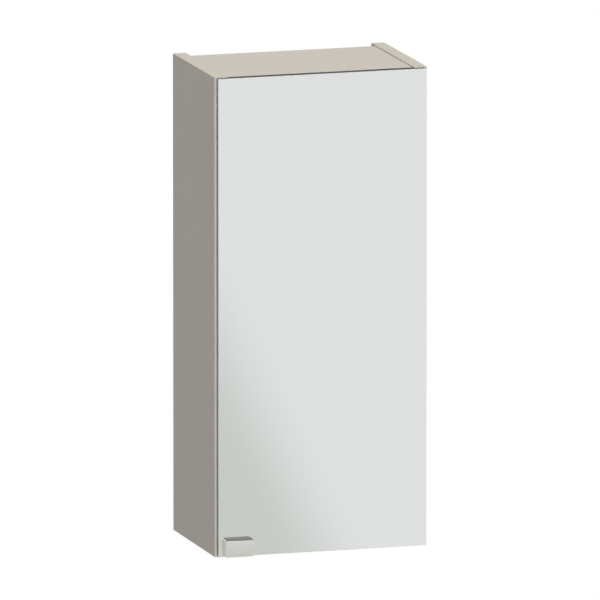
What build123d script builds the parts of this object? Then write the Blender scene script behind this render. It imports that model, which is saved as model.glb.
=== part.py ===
from build123d import *
import os

# Narrow wall cabinet in laminated board with one frameless mirror door, hinged on the right.
# Millimetres. +Z is up, +Y points to the wall, +X is to the right for someone facing the mirror.
# The origin is on the lowest plane, midway across the width and midway from front to back.

# Carcass
cabinet_width = 300.0
cabinet_height = 660.0
side_depth = 198.0
board_thickness = 18.0
band_thickness = 1.0
top_drop = 1.5
bottom_rise = 1.5
front_setback = 8.0
rear_setback = 16.5
back_thickness = 3.0
groove_depth = 6.0
groove_inset = 8.0
groove_play = 0.1
groove_end_play = 0.5

# Shelves and the holes that take their supports
shelf_thickness = 16.0
shelf_side_gap = 1.0
shelf_front_setback = 22.0
shelf_back_gap = 2.0
lower_shelf_height = 224.0
upper_shelf_height = 430.0
row_pitch = 32.0
rows_beside_shelf = 1
row_front_inset = 45.0
row_back_inset = 42.0
support_pin_radius = 2.5
support_pin_length = 8.0
support_plate_radius = 5.0
support_plate_thickness = 1.0
support_ledge_length = 7.0
support_ledge_width = 6.0
support_ledge_thickness = 3.0
hole_play = 0.05
hole_end_play = 1.0

# Corner joints
cam_radius = 7.5
cam_height = 12.0
cam_setback = 34.0
cam_front_inset = 36.0
cam_back_inset = 60.0
cam_slot_play = 0.4
cam_chamber_play = 1.0
cam_drive_reach = 3.2
cam_drive_half_width = 0.6
cam_drive_depth = 1.6
bolt_radius = 3.0
bolt_head_radius = 3.8
bolt_shank_radius = 2.6
bolt_shank_gap = 1.0
bolt_neck_radius = 2.0
bolt_head_length = 4.0
bolt_thread_length = 11.0
cap_radius = 8.7
cap_thickness = 1.2
dowel_radius = 4.0
dowel_length = 30.0
dowel_flutes = 12
dowel_flute_radius = 0.4
dowel_end_chamfer = 1.0
dowel_offset = 32.0

# Door
door_side_inset = 2.7
door_top_drop = 1.1
door_bottom_rise = 1.2
door_gap = 4.2
glass_thickness = 4.6
glass_bevel = 0.5
backing_thickness = 0.4
backing_margin = 0.6

# Handle
handle_width = 38.5
handle_height = 24.2
handle_depth = 10.0
handle_reach = 14.0
handle_lip_thickness = 2.2
handle_lip_slope = 1.0
handle_wall = 2.0
handle_edge_inset = 7.7
handle_bottom_rise = 1.0
handle_corner = 0.8
handle_side_edge = 0.3
handle_recess_height = 10.0
gasket_thickness = 0.5
gasket_inset = 0.4
gasket_corner = 1.0
handle_screw_radius = 2.0
handle_screw_depth = 6.0
handle_bore_end_play = 0.5
handle_screw_spacing = 18.0
handle_screw_height = 15.0
screw_shift = 5.5
glass_hole_radius = 3.0
washer_radius = 5.5
washer_thickness = 0.8
handle_screw_head_radius = 4.0
handle_screw_head_height = 2.2
handle_screw_head_edge = 1.1
handle_drive_radius = 1.3
handle_drive_depth = 1.1

# Hinges: a slim pair of leaves that fold together in the gap behind the glass
hinge_height = 60.0
hinge_end_distance = 78.0
leaf_thickness = 0.9
leaf_bend_radius = 0.72
leaf_corner = 4.0
knuckle_radius = 1.8
knuckle_count = 5
knuckle_play = 0.15
pin_radius = 0.95
pin_play = 0.04
pin_head_radius = 1.5
pin_head_height = 0.9
pin_head_edge = 0.54
hinge_pin_inset = 3.2
leaf_notch_play = 0.45
door_leaf_width = 34.0
cabinet_leaf_depth = 28.0
leaf_screw_radius = 1.75
leaf_screw_length = 13.0
leaf_screw_head_radius = 3.4
leaf_screw_head_height = 1.7
leaf_screw_head_edge = 1.0
leaf_drive_radius = 1.2
leaf_drive_depth = 1.0
leaf_screw_count = 3
leaf_screw_margin = 11.0
leaf_screw_depth = 15.0

# Magnetic catch on the left side panel
catch_height = 46.0
catch_width = 12.0
catch_depth = 20.0
catch_screw_setback = 12.4
catch_z = 330.0
catch_wall = 1.2
catch_corner = 2.5
magnet_width = 6.0
magnet_height = 24.0
magnet_depth = 9.0
strike_thickness = 1.0
strike_width = 12.0
strike_height = 34.0
strike_corner = 2.0
strike_gap = 0.3
catch_screw_radius = 1.5
catch_screw_length = 11.0
catch_screw_head_radius = 3.0
catch_screw_head_height = 1.4
catch_drive_radius = 1.1
catch_drive_depth = 0.9
catch_screw_spacing = 34.0

# Bumpers on the left side panel's front edge
bumper_radius = 4.0
bumper_gap = 0.3
bumper_edge = 1.2
bumper_end_distance = 40.0

# Wall hangers
hanger_width = 19.0
hanger_height = 62.0
hanger_depth = 42.0
hanger_wall = 2.0
hanger_top_gap = 6.0
hanger_corner = 2.5
hanger_screw_low_inset = 7.0
hanger_screw_top_inset = 5.0
hook_thickness = 2.5
hook_below_top = 24.0
hook_bend_radius = 2.0
hook_crown_gap = 1.0
hook_reach = 10.0
hook_drop = 26.0
hook_travel = 5.0
hook_play = 0.3
hook_end_play = 1.0
hook_arm_height = 20.0
height_screw_radius = 3.0
height_screw_head_radius = 4.2
height_screw_head_height = 1.4
height_screw_head_gap = 0.1
height_drum_length = 12.0
height_drum_gap = 0.3
depth_screw_radius = 3.0
depth_screw_head_radius = 4.0
depth_screw_head_height = 1.2
depth_screw_below_hook = 21.0
depth_screw_length = 12.0
slot_width = 1.2
slot_depth = 1.0
slot_reach = 2.8
hanger_screw_radius = 2.0
hanger_screw_length = 14.0
hanger_screw_head_radius = 3.6
hanger_screw_head_height = 1.4
hanger_drive_radius = 1.4
hanger_drive_depth = 1.0

# Places worked out from the sizes above
overall_depth = handle_reach + glass_thickness + backing_thickness + door_gap + side_depth
wall_y = overall_depth / 2
front_y = wall_y - side_depth
half_width = cabinet_width / 2
inner_x = half_width - board_thickness
top_z = cabinet_height - top_drop
top_under_z = top_z - board_thickness
floor_z = bottom_rise + board_thickness
panel_front_y = front_y + front_setback
panel_rear_y = wall_y - rear_setback
back_rear_y = panel_rear_y - groove_inset
back_front_y = back_rear_y - back_thickness
groove_front_y = back_front_y - groove_play
groove_rear_y = back_rear_y + groove_play
backing_y = front_y - door_gap
glass_rear_y = backing_y - backing_thickness
glass_front_y = glass_rear_y - glass_thickness
door_half_width = half_width - door_side_inset
door_low_z = door_bottom_rise
door_high_z = cabinet_height - door_top_drop
hinge_x = half_width - hinge_pin_inset
hinge_y = front_y - door_gap / 2
hinge_centres = [hinge_end_distance, cabinet_height - hinge_end_distance]
leaf_screw_y = front_y + leaf_screw_depth


def block(x0, x1, y0, y1, z0, z1):
    """A box between two opposite corners."""
    size = (abs(x1 - x0), abs(y1 - y0), abs(z1 - z0))
    middle = ((x0 + x1) / 2, (y0 + y1) / 2, (z0 + z1) / 2)
    return Pos(*middle) * Box(*size)


def rod(point, direction, radius, length):
    """A cylinder that starts at point and runs length along direction."""
    face = Plane(origin=point, z_dir=direction)
    return extrude(face * Circle(radius), amount=length)


def save(shape, name):
    """Writes one node as a STEP file."""
    solids = shape.solids()
    whole = solids[0] if len(solids) == 1 else Compound(children=list(solids))
    export_step(whole, "parts/" + name + ".step")


def group(shapes):
    """Separate solids of one node."""
    return Compound(children=list(shapes))


# Corner joints: two cam locks and two dowels at each end of the top and bottom panels

cam_rows = [panel_front_y + cam_front_inset, panel_rear_y - cam_back_inset]
dowel_rows = [cam_rows[0] + dowel_offset, cam_rows[1] - dowel_offset]
panel_under_faces = [bottom_rise, top_under_z]
corner_joints = [(side, under) for side in (-1, 1) for under in panel_under_faces]


def cam_pocket(side, row, under):
    """The blind round pocket in a panel's underside for one cam lock and its cap."""
    x = side * (inner_x - cam_setback)
    pocket = rod((x, row, under), (0, 0, 1), cam_radius + hole_play, cap_thickness + cam_height)
    recess = rod((x, row, under), (0, 0, 1), cap_radius + hole_play, cap_thickness)
    return pocket + recess


def cam_lock(side, row, under):
    """A round cam with a cross-shaped drive in its lower face and a slot for the bolt's head."""
    x = side * (inner_x - cam_setback)
    low = under + cap_thickness
    lock = rod((x, row, low), (0, 0, 1), cam_radius, cam_height - hole_play)
    middle = under + board_thickness / 2
    half = bolt_head_radius + cam_slot_play
    outside = x + side * 2 * cam_radius
    throat = block(x, outside, row - half, row + half, middle - half, middle + half)
    chamber_radius = bolt_head_radius + cam_chamber_play
    chamber = rod((x, row, middle - half), (0, 0, 1), chamber_radius, 2 * half)
    wide, narrow, top = cam_drive_reach, cam_drive_half_width, low + cam_drive_depth
    drive = block(x - wide, x + wide, row - narrow, row + narrow, low, top)
    cross = block(x - narrow, x + narrow, row - wide, row + wide, low, top)
    return lock - throat - chamber - drive - cross


def bolt_start(side):
    """Where a cam bolt's thread ends inside the side panel."""
    return side * (inner_x + bolt_thread_length)


def cam_bolt(side, row, under):
    """A cam bolt: thread in the side panel, collar, shank, neck and round head in the cam."""
    z = under + board_thickness / 2
    inward = (-side, 0, 0)
    reach = bolt_thread_length + cam_setback - bolt_head_length / 2
    thread = rod((bolt_start(side), row, z), inward, bolt_radius, bolt_thread_length)
    shank_length = cam_setback - cam_radius - bolt_shank_gap
    shank = rod((side * inner_x, row, z), inward, bolt_shank_radius, shank_length)
    neck = rod((side * inner_x, row, z), inward, bolt_neck_radius, reach - bolt_thread_length)
    head_x = side * (inner_x - (reach - bolt_thread_length))
    head = rod((head_x, row, z), inward, bolt_head_radius, bolt_head_length)
    return thread + shank + neck + head


def bolt_bore(side, row, under):
    """The holes for one cam bolt, in the side panel and in the panel's end."""
    z = under + board_thickness / 2
    inward = (-side, 0, 0)
    start = side * (inner_x + bolt_thread_length + hole_play)
    thread = rod((start, row, z), inward, bolt_radius + hole_play, bolt_thread_length + hole_play)
    channel = rod((side * inner_x, row, z), inward, bolt_radius + hole_play, cam_setback)
    return thread, channel


def dowel_bore(side, row, under):
    """The hole for one dowel, through a corner joint."""
    z = under + board_thickness / 2
    start = side * (inner_x + dowel_length / 3 + hole_play)
    return rod((start, row, z), (-side, 0, 0), dowel_radius + hole_play, dowel_length + 2 * hole_play)


def dowel(side, row, under):
    """A beech dowel across a corner joint, with chamfered ends and flutes for the glue."""
    start = (side * (inner_x + dowel_length / 3), row, under + board_thickness / 2)
    stick = rod(start, (-side, 0, 0), dowel_radius, dowel_length)
    stick = chamfer(stick.edges().filter_by(GeomType.CIRCLE), dowel_end_chamfer)
    end = Plane(origin=start, z_dir=(-side, 0, 0))
    circles = PolarLocations(dowel_radius, dowel_flutes) * Circle(dowel_flute_radius)
    return stick - extrude(end * (Sketch() + circles), amount=dowel_length)


all_cams = [(side, row, under) for side, under in corner_joints for row in cam_rows]
all_dowels = [(side, row, under) for side, under in corner_joints for row in dowel_rows]


def flat_panel(under):
    """Top or bottom panel: a board grooved for the back and bored for the fittings."""
    low, high = under, under + board_thickness
    board = block(-inner_x, inner_x, panel_front_y + band_thickness, panel_rear_y, low, high)
    groove_low = high - groove_depth if under == bottom_rise else low
    groove_high = groove_low + groove_depth
    board -= block(-inner_x, inner_x, groove_front_y, groove_rear_y, groove_low, groove_high)
    for side, row, joint_under in all_cams:
        if joint_under == under:
            board -= cam_pocket(side, row, under)
            board -= bolt_bore(side, row, under)[1]
    for side, row, joint_under in all_dowels:
        if joint_under == under:
            board -= dowel_bore(side, row, under)
    return board


# Shelves on four supports each, with spare rows of holes above and below

support_rows = [front_y + row_front_inset, back_front_y - row_back_inset]
shelf_undersides = {"lower": lower_shelf_height, "upper": upper_shelf_height}
hole_steps = range(-rows_beside_shelf, rows_beside_shelf + 1)


def pin_height(underside):
    """Height of the support pin's axis under a shelf."""
    return underside - support_ledge_thickness - hole_play


def shelf(underside):
    """A loose shelf board."""
    x = inner_x - shelf_side_gap
    front, rear = front_y + shelf_front_setback, back_front_y - shelf_back_gap
    return block(-x, x, front, rear, underside, underside + shelf_thickness)


def shelf_support(side, row, underside):
    """A pin with a round plate against the wall and a ledge that the shelf lies on."""
    z = pin_height(underside)
    pin = rod((side * inner_x, row, z), (side, 0, 0), support_pin_radius, support_pin_length)
    plate_x = side * (inner_x - support_plate_thickness)
    plate = rod((plate_x, row, z), (side, 0, 0), support_plate_radius, support_plate_thickness)
    wide, top = 2 * support_plate_radius, underside + 2 * support_plate_radius
    above = block(-half_width, half_width, row - wide, row + wide, underside, top)
    end_x = plate_x - side * support_ledge_length
    half = support_ledge_width / 2
    ledge = block(plate_x, end_x, row - half, row + half, z, underside)
    return pin + (plate - above) + ledge


def support_hole(side, row, z):
    """A blind hole for a support pin."""
    depth = support_pin_length + hole_end_play
    return rod((side * inner_x, row, z), (side, 0, 0), support_pin_radius + hole_play, depth)


# Wall hangers in the upper rear corners, inside the cabinet

hanger_top_z = top_under_z - hanger_top_gap
hanger_low_z = hanger_top_z - hanger_height
hanger_rear_y = back_front_y
hanger_front_y = hanger_rear_y - hanger_depth
hook_mid_z = hanger_top_z - hook_below_top
depth_screw_z = hook_mid_z - depth_screw_below_hook
hook_room = hook_arm_height / 2 + hook_travel + hook_end_play
hook_half_width = hanger_width / 2 - hanger_wall - hook_play
height_drum_radius = hook_half_width - hook_thickness - hook_play
hanger_screw_y = hanger_front_y + hanger_depth / 2
hanger_screw_zs = [hanger_low_z + hanger_screw_low_inset, hanger_top_z - hanger_screw_top_inset]


def hanger_mid_x(side):
    """Middle of a hanger across the cabinet."""
    return side * (inner_x - hanger_width / 2)


def hook_opening(side):
    """The upright slot in the back panel and the housing's rear wall that the hook moves in."""
    x = hanger_mid_x(side)
    half = hanger_width / 2 - hanger_wall
    low, high = hook_mid_z - hook_room, hook_mid_z + hook_room
    return block(x - half, x + half, hanger_front_y + hanger_wall, wall_y, low, high)


def hanger_housing(side):
    """A moulded box, open to the rear, with two screw seats in front and fixing holes to the side."""
    x = side * (inner_x - hanger_width)
    outer = block(x, side * inner_x, hanger_front_y, hanger_rear_y, hanger_low_z, hanger_top_z)
    outer = fillet(outer.edges().filter_by(Axis.Z).group_by(Axis.Y)[0], hanger_corner)
    shell = outer - hook_opening(side)
    mid = hanger_mid_x(side)
    front = (mid, hanger_front_y, hook_mid_z)
    shell -= rod(front, (0, 1, 0), height_screw_radius + hole_play, hanger_wall)
    front = (mid, hanger_front_y, depth_screw_z)
    shell -= rod(front, (0, 1, 0), depth_screw_radius + hole_play, depth_screw_length + hole_play)
    for z in hanger_screw_zs:
        start, hole_radius = (x, hanger_screw_y, z), hanger_screw_radius + hole_play
        seat_radius = hanger_screw_head_radius + hole_play
        shell -= rod(start, (side, 0, 0), hole_radius, hanger_width)
        shell -= rod(start, (side, 0, 0), seat_radius, hanger_width - hanger_wall)
    return shell


def hanger_hook(side):
    """A bent steel hook: a fork inside the housing, joined behind the back by a crown and a lip."""
    x = hanger_mid_x(side)
    half = hook_half_width
    low, high = hook_mid_z - hook_arm_height / 2, hook_mid_z + hook_arm_height / 2
    fork_front = hanger_front_y + hanger_wall + hook_play
    lip_y = back_rear_y + hook_reach
    hook = block(x - half, x + half, lip_y, lip_y + hook_thickness, high - hook_drop, high)
    crown_y = back_rear_y + hook_crown_gap
    hook += block(x - half, x + half, crown_y, lip_y, high - hook_thickness, high)
    for start in (x - half, x + half - hook_thickness):
        hook += block(start, start + hook_thickness, fork_front, lip_y, low, high)
    crown = hook.edges().filter_by(Axis.X).group_by(Axis.Y)[-1].sort_by(Axis.Z)[-1]
    return fillet(crown, hook_bend_radius)


def slotted_screw(x, y, z, radius, length, head_radius, head_height):
    """A screw along +Y with a cross drive in a head that stands out to the front."""
    shank = rod((x, y, z), (0, 1, 0), radius, length)
    head = rod((x, y - head_height, z), (0, 1, 0), head_radius, head_height)
    reach, half = slot_reach, slot_width / 2
    front = y - head_height
    upright = block(x - half, x + half, front, front + slot_depth, z - reach, z + reach)
    level = block(x - reach, x + reach, front, front + slot_depth, z - half, z + half)
    return shank + head - upright - level


def height_screw(side):
    """The upper screw, whose drum between the fork's arms raises and lowers the hook."""
    x = hanger_mid_x(side)
    seat_y = hanger_front_y - height_screw_head_gap
    drum_y = hanger_front_y + hanger_wall + height_drum_gap
    screw = slotted_screw(
        x,
        seat_y,
        hook_mid_z,
        height_screw_radius,
        drum_y - seat_y,
        height_screw_head_radius,
        height_screw_head_height,
    )
    drum = rod((x, drum_y, hook_mid_z), (0, 1, 0), height_drum_radius, height_drum_length)
    return screw + drum


def depth_screw(side):
    """The lower screw, which clamps the hook against the wall rail."""
    return slotted_screw(
        hanger_mid_x(side),
        hanger_front_y,
        depth_screw_z,
        depth_screw_radius,
        depth_screw_length,
        depth_screw_head_radius,
        depth_screw_head_height,
    )


def hanger_screw(side, z):
    """A fixing screw from the housing into the side panel."""
    x = side * (inner_x - hanger_wall)
    face = (x - side * hanger_screw_head_height, hanger_screw_y, z)
    seat, outward = (x, hanger_screw_y, z), (side, 0, 0)
    shank = rod(seat, outward, hanger_screw_radius, hanger_screw_length)
    head = rod(face, outward, hanger_screw_head_radius, hanger_screw_head_height)
    drive = rod(face, outward, hanger_drive_radius, hanger_drive_depth)
    return shank + head - drive


# Side panels

def side_panel(side):
    """A side panel with its groove, corner bores, support holes and pilot holes."""
    outer, inner = side * half_width, side * inner_x
    board = block(outer, inner, front_y + band_thickness, wall_y, 0, cabinet_height)
    groove_x = side * (inner_x + groove_depth)
    board -= block(inner, groove_x, groove_front_y, groove_rear_y, bottom_rise, top_z)
    for joint_side, row, under in all_cams:
        if joint_side == side:
            board -= bolt_bore(side, row, under)[0]
    for joint_side, row, under in all_dowels:
        if joint_side == side:
            board -= dowel_bore(side, row, under)
    for underside in shelf_undersides.values():
        for row in support_rows:
            for step in hole_steps:
                board -= support_hole(side, row, pin_height(underside) + step * row_pitch)
    depth = hanger_screw_length - hanger_wall + hole_play
    for z in hanger_screw_zs:
        start = (inner, hanger_screw_y, z)
        board -= rod(start, (side, 0, 0), hanger_screw_radius + hole_play, depth)
    pilots = leaf_pilots() if side > 0 else catch_pilots()
    for pilot in pilots:
        board -= pilot
    return board


def back_panel():
    """The thin back in its grooves, with a slot behind each hanger."""
    x = inner_x + groove_depth - groove_end_play
    low = floor_z - groove_depth + groove_end_play
    high = top_under_z + groove_depth - groove_end_play
    board = block(-x, x, back_front_y, back_rear_y, low, high)
    return board - hook_opening(-1) - hook_opening(1)


def edge_band(x0, x1, front, z0, z1):
    """A strip of edging on a front edge."""
    return block(x0, x1, front, front + band_thickness, z0, z1)


# Hinges

def hinge_bays(centre):
    """Heights of each knuckle of a hinge, from the bottom, and whose it is."""
    pitch = hinge_height / knuckle_count
    low = centre - hinge_height / 2
    for number in range(knuckle_count):
        start = low + number * pitch
        yield start, start + pitch, number % 2 == 0


def leaf_screw_heights(centre):
    """Heights of the screws in one cabinet leaf."""
    span = hinge_height - 2 * leaf_screw_margin
    pitch = span / (leaf_screw_count - 1)
    return [centre - span / 2 + pitch * number for number in range(leaf_screw_count)]


def knuckle(low, high):
    """One rolled eye about the pin's axis."""
    return rod((hinge_x, hinge_y, low), (0, 0, 1), knuckle_radius, high - low)


def cabinet_leaf(centre):
    """Leaf on the side panel: a plate across its front edge, bent to a flange on its inner face."""
    low, high = centre - hinge_height / 2, centre + hinge_height / 2
    left, front, rear = inner_x - leaf_thickness, front_y - leaf_thickness, front_y + cabinet_leaf_depth
    plate = block(left, hinge_x, front, front_y, low, high)
    flange = block(left, inner_x, front, rear, low, high)
    leaf = plate + flange
    bend = leaf.edges().filter_by(Axis.Z).group_by(Axis.Y)[0].sort_by(Axis.X)[0]
    leaf = fillet(bend, leaf_bend_radius)
    reach = knuckle_radius + leaf_notch_play
    for start, end, fixed in hinge_bays(centre):
        if fixed:
            web = block(hinge_x - knuckle_radius, hinge_x, hinge_y, front_y, start, end)
            leaf += (web + knuckle(start, end)) & block(0, cabinet_width, -wall_y, front_y, start, end)
        else:
            leaf -= block(hinge_x - reach, hinge_x + reach, hinge_y - reach, front_y, start, end)
    leaf -= rod((hinge_x, hinge_y, low), (0, 0, 1), pin_radius + pin_play, hinge_height)
    for z in leaf_screw_heights(centre):
        hole_start = (left, leaf_screw_y, z)
        leaf -= rod(hole_start, (1, 0, 0), leaf_screw_radius + hole_play, leaf_thickness)
    return leaf


def door_leaf(centre):
    """Leaf glued to the back of the glass, with the knuckles between those of the other leaf."""
    low, high = centre - hinge_height / 2, centre + hinge_height / 2
    left, rear = hinge_x - door_leaf_width, backing_y + leaf_thickness
    plate = block(left, hinge_x, backing_y, rear, low, high)
    corners = plate.edges().filter_by(Axis.Y).group_by(Axis.X)[0]
    leaf = fillet(corners, leaf_corner)
    reach = knuckle_radius + leaf_notch_play
    for start, end, fixed in hinge_bays(centre):
        if fixed:
            rear = hinge_y + reach
            leaf -= block(hinge_x - reach, hinge_x + reach, backing_y, rear, start, end)
        else:
            bottom, top = start + knuckle_play, end - knuckle_play
            web = block(hinge_x - knuckle_radius, hinge_x, backing_y, hinge_y, bottom, top)
            leaf -= block(hinge_x - reach, hinge_x, backing_y, hinge_y, start, bottom)
            leaf -= block(hinge_x - reach, hinge_x, backing_y, hinge_y, top, end)
            leaf += web + knuckle(bottom, top)
    leaf -= rod((hinge_x, hinge_y, low), (0, 0, 1), pin_radius + pin_play, hinge_height)
    return leaf


def hinge_pin(centre):
    """A riveted pin with a domed head at each end of the knuckles."""
    low, high = centre - hinge_height / 2, centre + hinge_height / 2
    pin = rod((hinge_x, hinge_y, low), (0, 0, 1), pin_radius, hinge_height)
    top = rod((hinge_x, hinge_y, high), (0, 0, 1), pin_head_radius, pin_head_height)
    bottom = rod((hinge_x, hinge_y, low), (0, 0, -1), pin_head_radius, pin_head_height)
    top = fillet(top.edges().group_by(Axis.Z)[-1], pin_head_edge)
    bottom = fillet(bottom.edges().group_by(Axis.Z)[0], pin_head_edge)
    return pin + top + bottom


def leaf_screw(z):
    """A pan head screw from the flange into the side panel."""
    seat = (inner_x - leaf_thickness, leaf_screw_y, z)
    face = (inner_x - leaf_thickness - leaf_screw_head_height, leaf_screw_y, z)
    shank = rod(seat, (1, 0, 0), leaf_screw_radius, leaf_screw_length)
    head = rod(face, (1, 0, 0), leaf_screw_head_radius, leaf_screw_head_height)
    head = fillet(head.edges().group_by(Axis.X)[0], leaf_screw_head_edge)
    drive = rod(face, (1, 0, 0), leaf_drive_radius, leaf_drive_depth)
    return shank + head - drive


def leaf_pilots():
    """Pilot holes of the hinge screws in the right side panel."""
    depth = leaf_screw_length - leaf_thickness + hole_play
    for centre in hinge_centres:
        for z in leaf_screw_heights(centre):
            start = (inner_x, leaf_screw_y, z)
            yield rod(start, (1, 0, 0), leaf_screw_radius + hole_play, depth)


# Magnetic catch

catch_wall_x = -inner_x
catch_seat_x = catch_wall_x + catch_wall
catch_front_y = backing_y + strike_thickness + strike_gap
catch_rear_y = catch_front_y + catch_depth
catch_screw_y = catch_front_y + catch_screw_setback
catch_screw_zs = [catch_z - catch_screw_spacing / 2, catch_z + catch_screw_spacing / 2]
catch_mid_x = catch_wall_x + catch_width / 2


def catch_housing():
    """A moulded block with a pocket for the magnet and two screw holes."""
    low, high = catch_z - catch_height / 2, catch_z + catch_height / 2
    inside = catch_wall_x + catch_width
    body = block(catch_wall_x, inside, catch_front_y, catch_rear_y, low, high)
    body = fillet(body.edges().filter_by(Axis.Y).group_by(Axis.X)[-1], catch_corner)
    body -= magnet_block(hole_play)
    for z in catch_screw_zs:
        seat, start = (catch_seat_x, catch_screw_y, z), (catch_wall_x, catch_screw_y, z)
        body -= rod(seat, (1, 0, 0), catch_screw_head_radius + hole_play, catch_width)
        body -= rod(start, (1, 0, 0), catch_screw_radius + hole_play, catch_wall)
    return body


def magnet_block(play=0.0):
    """The magnet, or its pocket when play is given."""
    half, rear = magnet_width / 2 + play, catch_front_y + magnet_depth + play
    low, high = catch_z - magnet_height / 2 - play, catch_z + magnet_height / 2 + play
    return block(catch_mid_x - half, catch_mid_x + half, catch_front_y, rear, low, high)


def catch_screw(z):
    """A screw from the catch into the left side panel."""
    seat = (catch_seat_x, catch_screw_y, z)
    face = (catch_seat_x + catch_screw_head_height, catch_screw_y, z)
    shank = rod(seat, (-1, 0, 0), catch_screw_radius, catch_screw_length)
    head = rod(face, (-1, 0, 0), catch_screw_head_radius, catch_screw_head_height)
    drive = rod(face, (-1, 0, 0), catch_drive_radius, catch_drive_depth)
    return shank + head - drive


def catch_pilots():
    """Pilot holes of the catch screws in the left side panel."""
    depth = catch_screw_length - catch_wall + hole_play
    for z in catch_screw_zs:
        start = (catch_wall_x, catch_screw_y, z)
        yield rod(start, (-1, 0, 0), catch_screw_radius + hole_play, depth)


def strike_plate():
    """The steel plate glued to the back of the glass, opposite the magnet."""
    left, right = catch_mid_x - strike_width / 2, catch_mid_x + strike_width / 2
    low, high = catch_z - strike_height / 2, catch_z + strike_height / 2
    plate = block(left, right, backing_y, backing_y + strike_thickness, low, high)
    return fillet(plate.edges().filter_by(Axis.Y), strike_corner)


def bumper(z):
    """A soft stop on the left side panel's front edge."""
    height = door_gap - bumper_gap
    x = -(inner_x + board_thickness / 2)
    stop = rod((x, front_y, z), (0, -1, 0), bumper_radius, height)
    return fillet(stop.edges().group_by(Axis.Y)[0], bumper_edge)


# Door and handle

handle_left_x = -door_half_width + handle_edge_inset
handle_low_z = door_low_z + handle_bottom_rise
handle_high_z = handle_low_z + handle_height
handle_mid_x = handle_left_x + handle_width / 2 + screw_shift
handle_screw_xs = [handle_mid_x - handle_screw_spacing / 2, handle_mid_x + handle_screw_spacing / 2]
handle_screw_z = handle_low_z + handle_screw_height
gasket_front_y = glass_front_y - gasket_thickness
handle_front_y = glass_front_y - handle_depth


def mirror_glass():
    """The glass, with a ground bevel on its edges and two holes for the handle screws."""
    x = door_half_width
    glass = block(-x, x, glass_front_y, glass_rear_y, door_low_z, door_high_z)
    glass = chamfer(glass.edges().group_by(Axis.Y)[0], glass_bevel)
    for hole_x in handle_screw_xs:
        start = (hole_x, glass_rear_y, handle_screw_z)
        glass -= rod(start, (0, -1, 0), glass_hole_radius, glass_thickness)
    return glass


def mirror_backing():
    """The silvering's paint and safety film on the back of the glass."""
    x = door_half_width - backing_margin
    low, high = door_low_z + backing_margin, door_high_z - backing_margin
    film = block(-x, x, glass_rear_y, backing_y, low, high)
    for hole_x in handle_screw_xs:
        start = (hole_x, backing_y, handle_screw_z)
        film -= rod(start, (0, -1, 0), glass_hole_radius, backing_thickness)
    return film


def handle_outline(front, back):
    """The handle's side outline between two depths: upright front wall with a lip flared forwards."""
    lip_y = glass_front_y - handle_reach
    lip_low = handle_high_z - handle_lip_slope - handle_lip_thickness
    return Polyline(
        (back, handle_low_z),
        (front, handle_low_z),
        (front, lip_low - (front - lip_y)),
        (lip_y, lip_low),
        (lip_y, handle_high_z - handle_lip_slope),
        (back, handle_high_z),
        close=True,
    )


def handle_body():
    """The cast handle: hollow from below for the fingertips, with two screw bosses behind."""
    left, right = handle_left_x, handle_left_x + handle_width
    side_view = Plane.YZ.offset(left)
    profile = make_face(side_view * handle_outline(handle_front_y, gasket_front_y))
    body = extrude(profile, amount=handle_width, dir=(1, 0, 0))
    lip_edges = body.edges().filter_by(Axis.X).group_by(Axis.Y)[0]
    body = fillet(lip_edges, handle_corner)
    ends = body.faces().filter_by(Axis.X)
    front_edges = [edge for face in ends for edge in face.edges().group_by(Axis.Y)[0]]
    body = fillet(front_edges, handle_side_edge)
    body -= block(
        left + handle_wall,
        right - handle_wall,
        handle_front_y + handle_wall,
        gasket_front_y - handle_wall,
        handle_low_z,
        handle_low_z + handle_recess_height,
    )
    for x in handle_screw_xs:
        start, depth = (x, gasket_front_y, handle_screw_z), handle_screw_depth + handle_bore_end_play
        body -= rod(start, (0, -1, 0), handle_screw_radius + hole_play, depth)
    return body


def handle_gasket():
    """A thin pad between the handle and the glass."""
    left, right = handle_left_x + gasket_inset, handle_left_x + handle_width - gasket_inset
    low, high = handle_low_z + gasket_inset, handle_high_z - gasket_inset
    pad = block(left, right, gasket_front_y, glass_front_y, low, high)
    pad = fillet(pad.edges().filter_by(Axis.Y), gasket_corner)
    for x in handle_screw_xs:
        pad -= rod((x, glass_front_y, handle_screw_z), (0, -1, 0), glass_hole_radius, gasket_thickness)
    return pad


def handle_washer(x):
    """A washer behind the glass."""
    start = (x, backing_y, handle_screw_z)
    ring = rod(start, (0, 1, 0), washer_radius, washer_thickness)
    return ring - rod(start, (0, 1, 0), handle_screw_radius + hole_play, washer_thickness)


def handle_screw(x):
    """A low head screw from behind, through washer, glass and gasket into the handle."""
    seat_y = backing_y + washer_thickness
    length = seat_y - gasket_front_y + handle_screw_depth
    seat = (x, seat_y, handle_screw_z)
    face = (x, seat_y + handle_screw_head_height, handle_screw_z)
    shank = rod(seat, (0, -1, 0), handle_screw_radius, length)
    head = rod(face, (0, -1, 0), handle_screw_head_radius, handle_screw_head_height)
    head = fillet(head.edges().group_by(Axis.Y)[-1], handle_screw_head_edge)
    drive = rod(face, (0, -1, 0), handle_drive_radius, handle_drive_depth)
    return shank + head - drive


os.makedirs("parts", exist_ok=True)

save(side_panel(-1), "left_side_panel")
save(side_panel(1), "right_side_panel")
save(flat_panel(top_under_z), "top_panel")
save(flat_panel(bottom_rise), "bottom_panel")
save(back_panel(), "back_panel")
save(edge_band(-half_width, -inner_x, front_y, 0, cabinet_height), "left_edge_band")
save(edge_band(inner_x, half_width, front_y, 0, cabinet_height), "right_edge_band")
save(edge_band(-inner_x, inner_x, panel_front_y, top_under_z, top_z), "top_edge_band")
save(edge_band(-inner_x, inner_x, panel_front_y, bottom_rise, floor_z), "bottom_edge_band")

for name, underside in shelf_undersides.items():
    save(shelf(underside), name + "_shelf")
    supports = [shelf_support(side, row, underside) for side in (-1, 1) for row in support_rows]
    save(group(supports), name + "_shelf_supports")

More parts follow.
